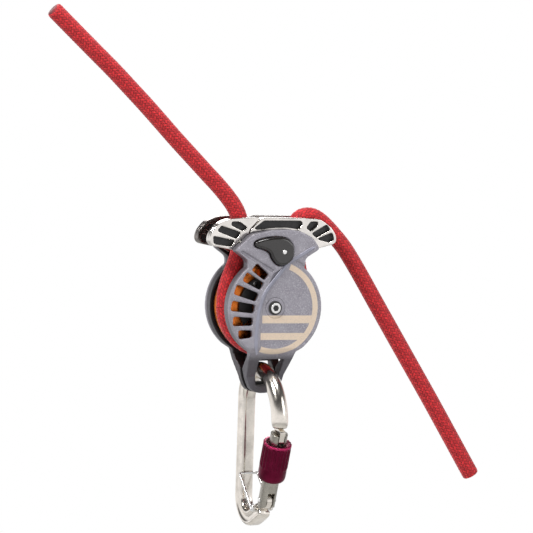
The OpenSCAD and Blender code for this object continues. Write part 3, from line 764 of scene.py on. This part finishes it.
def lathe(name, profile, centre, axis, key, body, replaces=(), sides=64, ribs=None):
    """A turned piece: profile points are distance along the axis and radius, in millimetres. A profile
    that ends on its first point makes a ring with a clear bore."""
    axis = Vector(axis).normalized()
    one = axis.orthogonal().normalized()
    two = axis.cross(one)
    points = []
    for along, radius in profile:
        for k in range(sides):
            a = 2 * math.pi * k / sides
            r = radius + (ribs(along, a) if ribs else 0)
            points.append(Vector(centre) + axis * along + (one * math.cos(a) + two * math.sin(a)) * r)
    ring = profile[0] == profile[-1]
    add_mesh(name, points, tube_faces(len(profile), sides, not ring), key, body, replaces)


# The sleeve's measures run along its axis from its lower end.
SLEEVE_RIBS, RIBS_FROM, RIBS_TO = 22, 8.5, 22.4
SLEEVE_BORE, SLEEVE_R, SLEEVE_LENGTH = 5.25, 8.3, 24.5
sleeve_at = (0, *on_gate(14, 0))
sleeve_axis = (0, *gate_way)


def sleeve_ribs(along, angle):
    """Grip ribs along the upper part of the sleeve, fading out at both ends."""
    if not RIBS_FROM < along < RIBS_TO:
        return 0
    edge = min(1, (along - RIBS_FROM) / 1.2, (RIBS_TO - along) / 0.6)
    return 0.62 * edge * (max(0, math.cos(angle * SLEEVE_RIBS)) ** 0.5 - 0.7)


def crown_teeth(_, angle):
    """Teeth round the crown, in line with the grip's ribs."""
    return 0.35 * max(0, math.cos(angle * SLEEVE_RIBS)) - 0.1


grip = [(0, SLEEVE_BORE), (0, 6.5), (0.5, 7.3), (1.3, 7.9), (2.6, 8.2), (5, SLEEVE_R), (7.6, 8.25),
        (8.4, 8.2)]
grip += [(float(t), SLEEVE_R) for t in np.arange(8.9, 22.6, 0.45)]
grip += [(22.8, 8.2), (23.0, 7.6), (24.3, 7.4), (SLEEVE_LENGTH, 7.1), (SLEEVE_LENGTH, SLEEVE_BORE),
         (0, SLEEVE_BORE)]
lathe("lock_sleeve_grip", grip, sleeve_at, sleeve_axis, "sleeve", "sleeve",
      ["lock_sleeve"], 12 * SLEEVE_RIBS, sleeve_ribs)

# Painted highlight: the crown is the sleeve's colour made brighter, where its chamfer and teeth catch
# the light.
crown = [(22.9, 5.4), (22.9, 8.1), (23.6, SLEEVE_R), (24.3, 8.2), (SLEEVE_LENGTH, 7.7),
         (SLEEVE_LENGTH, 5.4), (22.9, 5.4)]
lathe("lock_sleeve_crown", crown, sleeve_at, sleeve_axis, "sleeve_highlight", "sleeve", (),
      12 * SLEEVE_RIBS, crown_teeth)

half_rivet = [(5.4, 0.6), (5.4, 1.2), (5.15, 1.75), (4.9, 1.5)]
rivet = [(-along, radius) for along, radius in half_rivet] + half_rivet[::-1]
lathe("gate_rivet", rivet, (0, *HINGE), (1, 0, 0), "bright", "gate", ["gate_pin"], 48)


# ---------- painted shade: black sheets in the lug and in the axle screw's socket ---

# Painted shade: black bands where the lug's window lies in shade.
for name, right, low, high, near, away in (("lug_lining_top", 7.3, -33.6, -30.2, 9.5, 11.9),
                                           ("lug_lining_low", 6.1, -46.8, -44.9, 1.7, 5.9)):
    band = np.array([(-7.9, low), (-7.9, high), (right, high), (right, low)])
    flat_piece(name, [band], near, away, 0.1, "painted_shade", "frame")

# Painted shade: a black hexagon in the shaded hollow of the screw's socket.
SOCKET_R = 1.82
hexagon = [(SOCKET_R * math.sin(a), SOCKET_R * math.cos(a))
           for a in np.linspace(0, 2 * math.pi, 6, endpoint=False)]
flat_piece("axle_socket_shade", [np.array(hexagon)], -17.5, -17.12, 0.05, "painted_shade", "frame")


# ---------- keeper wire ----------

def wire_piece(name, points, radius, key, body, replaces=(), sides=16):
    """Round wire along a smooth open line in space."""
    p = np.array(points, float)
    run = lengths(p)
    n = max(8, int(run[-1] / 0.35))
    at = np.linspace(0, run[-1], n)
    line = np.stack([np.interp(at, run, p[:, k]) for k in range(3)], axis=1)
    for _ in range(6):
        line[1:-1] = line[1:-1] * 0.5 + (line[:-2] + line[2:]) * 0.25
    way = headings(line)
    side = np.cross(way[0], (0.3, 0.9, 0.1))
    made = []
    for i in range(n):
        side = side - way[i] * np.dot(side, way[i])
        side /= np.linalg.norm(side)
        other = np.cross(way[i], side)
        for k in range(sides):
            a = 2 * math.pi * k / sides
            made.append(line[i] + (side * math.cos(a) + other * math.sin(a)) * radius)
    add_mesh(name, made, tube_faces(n, sides), key, body, replaces)


def keeper_points():
    """A bail: from the pivot out, once round a coil and up to the top on each side."""
    pivot, top, half, coil_r = (2.8, -121.4), (21.3, -101.2), 5.8, 1.7
    made = []
    for side in (-1, 1):
        leg = [(side * 2.6, *pivot), (side * half, *pivot)]
        for a in np.linspace(0, 2 * math.pi, 22):
            leg.append((side * (half + 0.15 * a / math.pi), pivot[0] + coil_r * math.sin(a),
                        pivot[1] + coil_r - coil_r * math.cos(a)))
        leg.append((side * half, *top))
        made += leg if side < 0 else leg[::-1]
    return made


wire_piece("keeper_bail", keeper_points(), 0.8, "bright", "keeper", ["keeper_wire"])


# ---------- materials and edges of the other CAD pieces ----------

CAD_LOOKS = {
    "plate": ["rear_plate"], "plate_front": ["front_plate", "front_bush"],
    "bright": ["rear_guide_screws", "front_guide_screws", "main_axle", "axle_nut", "axle_screw",
               "latch_post", "button_pin", "button_spring", "wheel_bearings", "pawl_pins",
               "cam_spring", "gate_plunger", "gate_pin", "keeper_wire"],
    "black_matt": ["axle_washer", "wheel_cover", "sleeve_ring"],
    "orange": ["wheel_rim"],
    "dark_steel": ["pawl_1", "pawl_2", "pawl_3", "brake_cam", "ratchet_ring"],
    "shoe": ["brake_shoes"],
    "gate": ["gate_tube"],
    "alloy": ["carabiner_body"],
    "sleeve": ["lock_sleeve"],
    "rope": ["rope_wrap", "rope_left", "rope_right"],
    "guide": ["front_guide_left", "front_guide_right", "rear_guide_left", "rear_guide_right"],
    "button": ["latch_button"],
}
for key, names in CAD_LOOKS.items():
    for name in names:
        paint(nodes[name], key)

def cast_skin(node, voxel, turns):
    """Melts a CAD piece's hard edges, as in a casting."""
    cast = node.modifiers.new("cast skin", "REMESH")
    cast.mode, cast.voxel_size, cast.use_smooth_shade = "VOXEL", voxel * MM, True
    ease = node.modifiers.new("eased edges", "SMOOTH")
    ease.factor, ease.iterations = 0.5, turns


def eased_edges(node, width):
    """A small rounding on a turned or milled CAD piece's sharp edges."""
    join = node.modifiers.new("one skin", "WELD")
    join.merge_threshold = 0.005 * MM
    plain = node.modifiers.new("whole faces", "DECIMATE")
    plain.decimate_type, plain.angle_limit = "DISSOLVE", math.radians(1)
    edge = node.modifiers.new("eased edges", "BEVEL")
    edge.width, edge.segments, edge.angle_limit = width * MM, 3, math.radians(30)
    edge.limit_method, edge.harden_normals = "ANGLE", False


for name, voxel, turns in (("rear_plate", 0.45, 4), ("front_plate", 0.38, 4), ("gate_tube", 0.22, 3)):
    cast_skin(nodes[name], voxel, turns)

EDGES = {
    0.1: ["wheel_bearings"],
    0.12: ["axle_washer"],
    0.15: ["ratchet_ring"],
    0.2: ["axle_nut", "main_axle", "latch_post", "front_bush", "pawl_1", "pawl_2", "pawl_3"],
    0.25: ["wheel_cover", "axle_screw", "button_pin", "pawl_pins", "brake_cam"],
    0.3: ["brake_shoes"],
    0.35: ["wheel_rim"],
}
for width, names in EDGES.items():
    for name in names:
        eased_edges(nodes[name], width)


# ---------- floor ----------

disc = bmesh.new()
bmesh.ops.create_circle(disc, cap_ends=True, segments=96, radius=1.2)
floor_mesh = bpy.data.meshes.new("floor")
disc.to_mesh(floor_mesh)
disc.free()
floor = bpy.data.objects.new("floor", floor_mesh)
floor.location = (0, 0, -0.45)
scene.collection.objects.link(floor)
floor_look = mottled("floor_paper", (0.86, 0.86, 0.85), (0.83, 0.83, 0.82), 0.7, 0.85, 300, 0.0002, 5)
floor_mesh.materials.append(floor_look.material)
